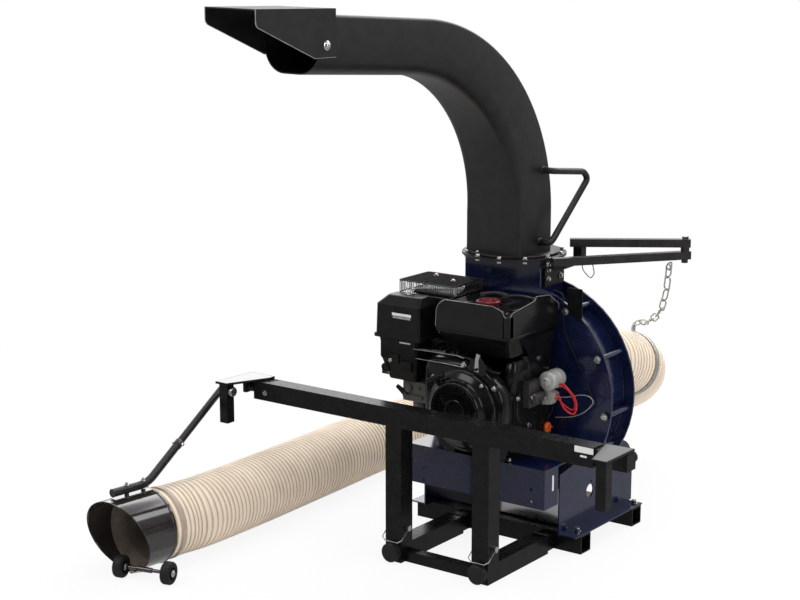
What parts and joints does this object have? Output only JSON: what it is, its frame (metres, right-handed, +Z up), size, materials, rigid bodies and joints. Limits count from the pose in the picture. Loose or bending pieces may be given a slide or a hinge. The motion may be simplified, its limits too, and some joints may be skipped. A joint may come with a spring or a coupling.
{
  "type": "leaf vacuum",
  "caption": "Skid-mounted leaf vacuum with petrol engine, fan housing, swivelling discharge chute, ribbed suction hose and a wheeled nozzle.",
  "frame": {"origin": "middle of the front cross tube's underside, on the floor", "axes": "+Z up, +Y from the engine toward the fan and its suction inlet, +X to the right as seen from the engine's side"},
  "size_m": [1.3183, 1.927, 1.4696],
  "materials": {
    "powder_black": "black powder coat",
    "rubber": "moulded black rubber",
    "zinc": "zinc plated",
    "navy_gloss": "navy blue gloss paint",
    "steel": "plain steel",
    "chute_black": "matt black",
    "arm_grey": "dark satin",
    "engine_black": "black paint over cast and pressed metal",
    "casting": "as cast, dark",
    "engine_plastic": "black moulding",
    "cap_red": "dark red moulding",
    "starter_grey": "light grey paint",
    "cable_red": "red cable jacket",
    "filler_orange": "orange moulding",
    "hose_tan": "beige ribbed urethane",
    "nozzle_dark": "dark gloss"
  },
  "bodies": {
    "skid": {"cross_tube_front": "powder_black", "cross_tube_rear": "powder_black", "ring_rail_left": "powder_black", "ring_rail_right": "powder_black", "ring_front_rail": "powder_black", "post_left": "powder_black", "post_right": "powder_black", "beam": "powder_black", "boom_bracket": "powder_black", "bumper_left": "rubber", "bumper_right": "rubber", "lock_pin_left": "zinc", "lock_pin_right": "zinc", "hose_strap": "zinc", "chain": "zinc", "hose_clamp_inlet": "zinc", "hose_clamp_nozzle": "zinc", "side_plate_left": "navy_gloss", "side_plate_right": "navy_gloss", "engine_bed": "navy_gloss", "fan_front_plate": "navy_gloss", "fan_back_plate": "navy_gloss", "fan_wrapper": "navy_gloss", "chute_ring": "chute_black", "boom_upper": "arm_grey", "boom_lower": "arm_grey", "handle_lower": "arm_grey", "crankcase": "engine_black", "valve_cover": "engine_black", "blower_housing": "engine_black", "recoil_cover": "engine_black", "tank_bracket": "engine_black", "fuel_tank": "engine_black", "muffler": "engine_black", "muffler_guard": "engine_black", "cylinder": "casting", "carburettor": "casting", "air_cleaner_base": "engine_plastic", "air_cleaner_cover": "engine_plastic", "starter_motor": "starter_grey", "battery_cable": "cable_red", "hose": "hose_tan", "nozzle": "nozzle_dark"},
    "rotor": {"rotor": "steel"},
    "chute": {"chute_elbow": "chute_black", "chute_handle": "chute_black"},
    "deflector": {"deflector_cap": "chute_black"},
    "bracket_left": {"bracket_left": "powder_black"},
    "bracket_right": {"bracket_right": "powder_black"},
    "clamp_left": {"clamp_knob_left": "rubber"},
    "clamp_right": {"clamp_knob_right": "rubber"},
    "recoil_grip": {"recoil_handle": "engine_plastic"},
    "fuel_cap": {"fuel_cap": "cap_red"},
    "air_knob": {"air_cleaner_knob": "zinc"},
    "throttle": {"throttle_lever": "zinc"},
    "choke": {"choke_lever": "engine_plastic"},
    "dipstick": {"oil_dipstick": "filler_orange"},
    "wheel_left": {"nozzle_wheel_left": "rubber"},
    "wheel_right": {"nozzle_wheel_right": "rubber"},
    "handle": {"handle_upper": "arm_grey"}
  },
  "joints": [
    {"name": "rotor_spin", "type": "hinge", "parent": "skid", "child": "rotor", "pos_m": [0, 0.069, 0.4], "axis": [0, 1, 0], "continuous": true},
    {"name": "chute_swivel", "type": "hinge", "parent": "skid", "child": "chute", "pos_m": [-0.055, 0.132, 0.771], "axis": [0, 0, 1], "range_deg": [-120, 120]},
    {"name": "deflector_tilt", "type": "hinge", "parent": "chute", "child": "deflector", "pos_m": [-0.14176, -0.69345, 1.379], "axis": [0.9945, -0.1045, 0], "range_deg": [0, 40]},
    {"name": "bracket_left_slide", "type": "slide", "parent": "skid", "child": "bracket_left", "axis": [1, 0, 0], "range_m": [0, 0.034]},
    {"name": "bracket_right_slide", "type": "slide", "parent": "skid", "child": "bracket_right", "axis": [-1, 0, 0], "range_m": [0, 0.045]},
    {"name": "clamp_left_turn", "type": "hinge", "parent": "bracket_left", "child": "clamp_left", "pos_m": [-0.6157, -0.427, 0.399], "axis": [1, 0, 0], "continuous": true},
    {"name": "clamp_right_turn", "type": "hinge", "parent": "bracket_right", "child": "clamp_right", "pos_m": [0.572, -0.3172, 0.3994], "axis": [0, 1, 0], "continuous": true},
    {"name": "recoil_pull", "type": "slide", "parent": "skid", "child": "recoil_grip", "axis": [-0.3011, -0.6222, 0.7226], "range_m": [0, 0.25], "stiffness_N_per_m": 40, "springref_m": -0.2},
    {"name": "fuel_cap_turn", "type": "hinge", "parent": "skid", "child": "fuel_cap", "pos_m": [0.026, -0.118, 0.6843], "axis": [0, 0, 1], "range_deg": [0, 90]},
    {"name": "air_knob_turn", "type": "hinge", "parent": "skid", "child": "air_knob", "pos_m": [-0.222, -0.128, 0.6723], "axis": [0, 0, 1], "continuous": true},
    {"name": "throttle_turn", "type": "hinge", "parent": "skid", "child": "throttle", "pos_m": [0.04, -0.1933, 0.512], "axis": [0, 1, 0], "range_deg": [-25, 25]},
    {"name": "choke_turn", "type": "hinge", "parent": "skid", "child": "choke", "pos_m": [-0.205, -0.1736, 0.405], "axis": [0, 1, 0], "range_deg": [-60, 0]},
    {"name": "dipstick_turn", "type": "hinge", "parent": "skid", "child": "dipstick", "pos_m": [0.1183, 0.03, 0.318], "axis": [1, 0, 0], "continuous": true},
    {"name": "wheel_left_roll", "type": "hinge", "parent": "skid", "child": "wheel_left", "pos_m": [-0.604, -0.874, 0.03], "axis": [0.9658, 0.2595, 0], "continuous": true},
    {"name": "wheel_right_roll", "type": "hinge", "parent": "skid", "child": "wheel_right", "pos_m": [-0.47, -0.838, 0.03], "axis": [0.9658, 0.2595, 0], "continuous": true},
    {"name": "handle_extend", "type": "slide", "parent": "skid", "child": "handle", "axis": [-0.1624, 0.8983, 0.4082], "range_m": [0, 0.1]}
  ]
}
